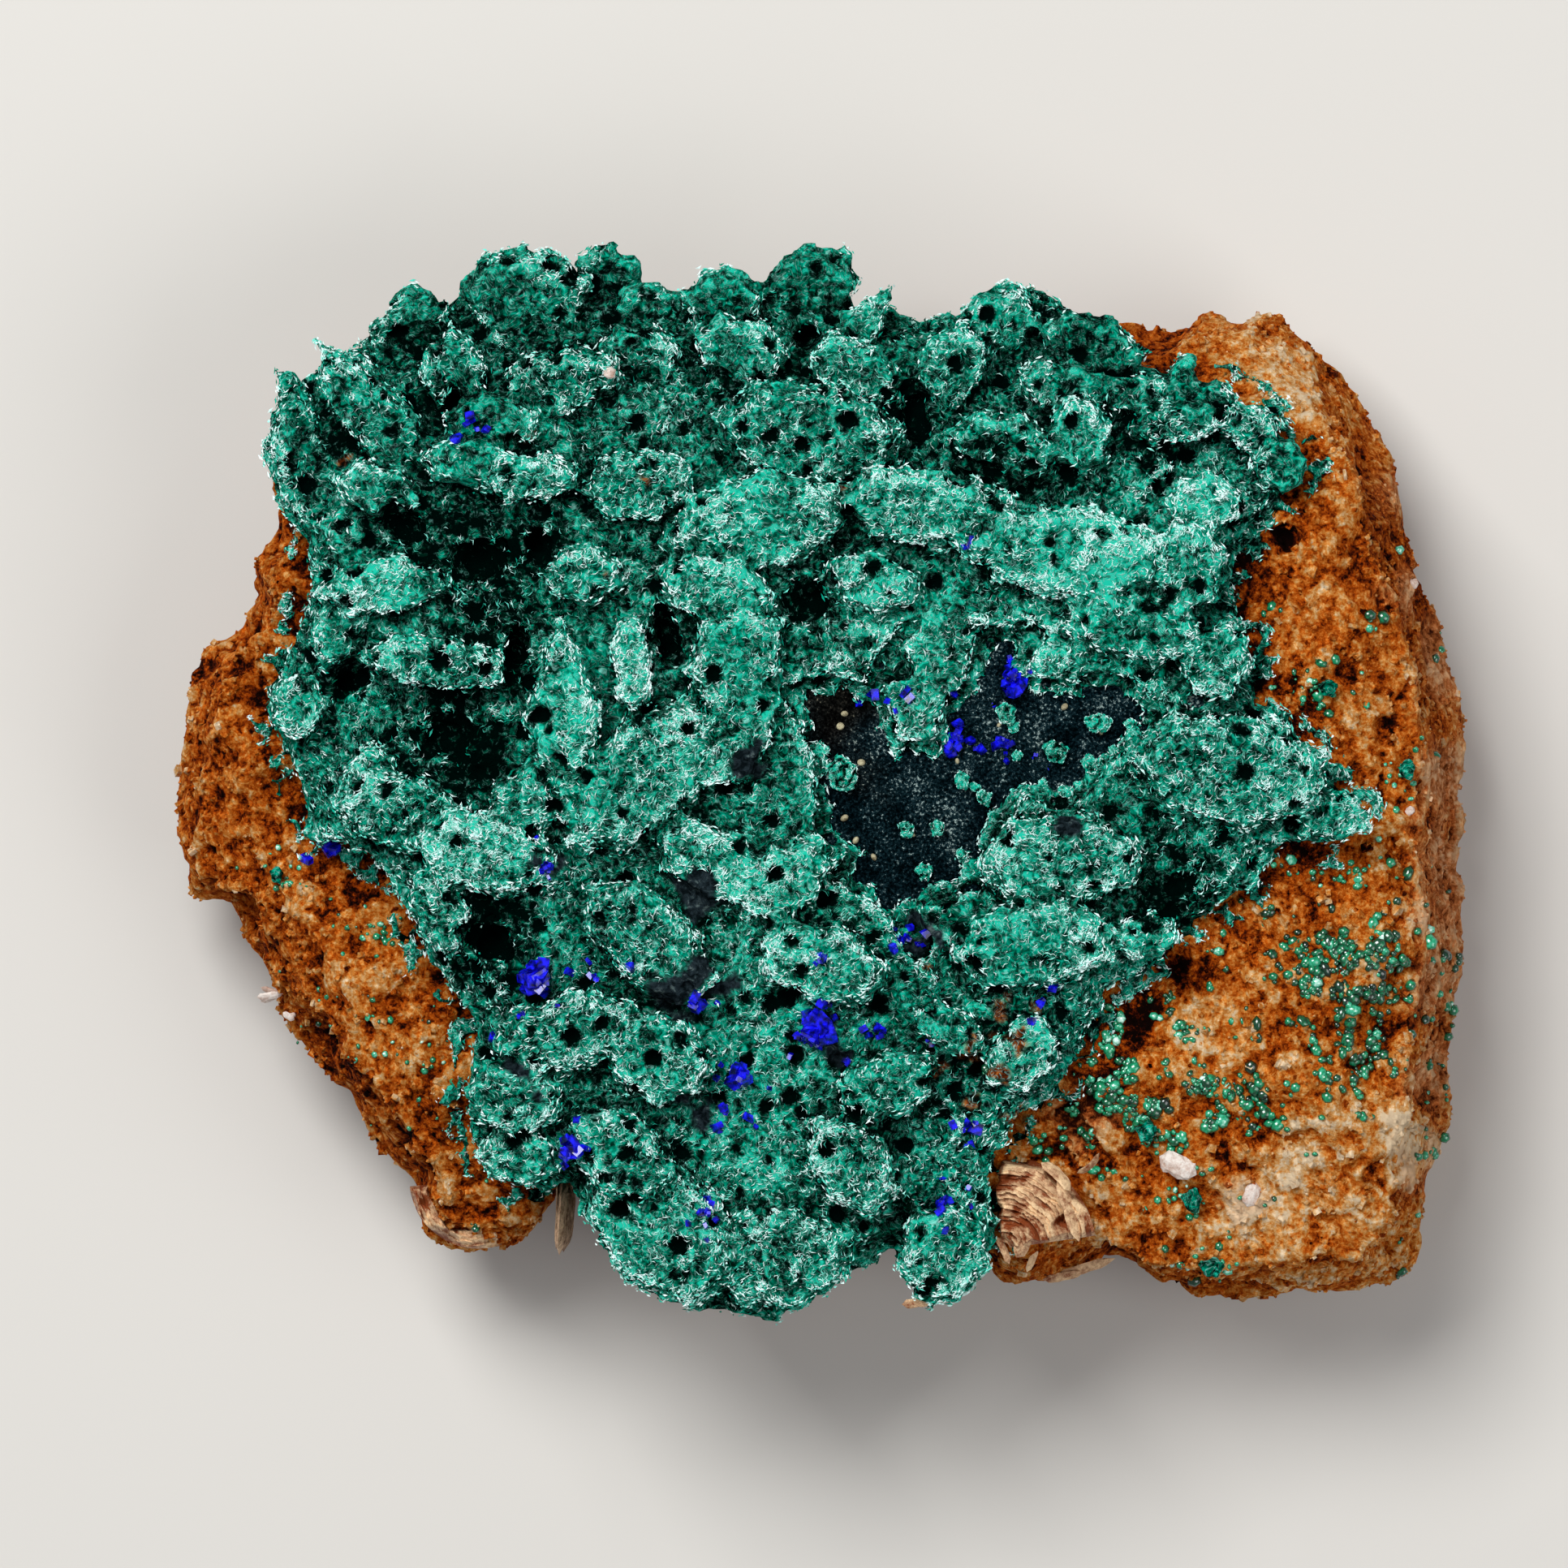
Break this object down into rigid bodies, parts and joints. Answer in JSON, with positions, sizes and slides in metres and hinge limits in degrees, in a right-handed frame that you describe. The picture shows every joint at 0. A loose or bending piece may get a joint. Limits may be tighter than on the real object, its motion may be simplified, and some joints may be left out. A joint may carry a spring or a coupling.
{
  "type": "malachite on barite mineral specimen",
  "caption": "Hand-sized iron-stained barite rock with a velvety green malachite crust over rounded blades, a window of dark copper oxide and small deep blue azurite crystals.",
  "frame": {"origin": "centre of the bounding box in X and Y, on the flat broken face of the rock's underside", "axes": "+Z out of the display face, +X to the right and +Y to the top as the specimen is seen from above"},
  "size_m": [0.0938, 0.0778, 0.0311],
  "materials": {
    "iron_stained_barite": "dull, grainy broken rock stained by iron oxide",
    "velvet_malachite": "velvety, from fine fibres standing on end",
    "copper_oxide": "dull to slightly waxy thin film",
    "azurite": "glassy crystal faces",
    "tan_barite": "pearly and slightly rough",
    "cream_barite": "pearly and slightly rough",
    "white_barite": "pearly"
  },
  "bodies": {
    "root": {"matrix": "iron_stained_barite", "oxide_coating": "copper_oxide", "malachite_crust": "velvet_malachite", "barite_blade_standing": "tan_barite", "barite_ribs": "cream_barite", "barite_crystal_left": "white_barite", "barite_lens_white": "white_barite", "azurite_01": "azurite", "azurite_02": "azurite", "azurite_03": "azurite", "azurite_04": "azurite", "azurite_05": "azurite", "azurite_06": "azurite", "azurite_07": "azurite", "azurite_08": "azurite", "azurite_09": "azurite", "azurite_10": "azurite", "azurite_11": "azurite", "azurite_12": "azurite", "azurite_13": "azurite", "azurite_14": "azurite", "azurite_15": "azurite", "azurite_16": "azurite", "azurite_17": "azurite", "azurite_18": "azurite", "azurite_19": "azurite", "azurite_20": "azurite", "azurite_21": "azurite", "malachite_tuft_01": "velvet_malachite", "malachite_tuft_02": "velvet_malachite", "malachite_tuft_03": "velvet_malachite", "malachite_tuft_04": "velvet_malachite", "malachite_tuft_05": "velvet_malachite", "malachite_tuft_06": "velvet_malachite", "malachite_tuft_07": "velvet_malachite", "malachite_tuft_08": "velvet_malachite", "malachite_tuft_09": "velvet_malachite", "malachite_tuft_10": "velvet_malachite", "malachite_tuft_11": "velvet_malachite", "malachite_tuft_12": "velvet_malachite", "malachite_ball_01": "velvet_malachite", "malachite_ball_02": "velvet_malachite", "malachite_ball_03": "velvet_malachite", "malachite_ball_04": "velvet_malachite", "malachite_ball_05": "velvet_malachite", "malachite_ball_06": "velvet_malachite"}
  },
  "joints": []
}
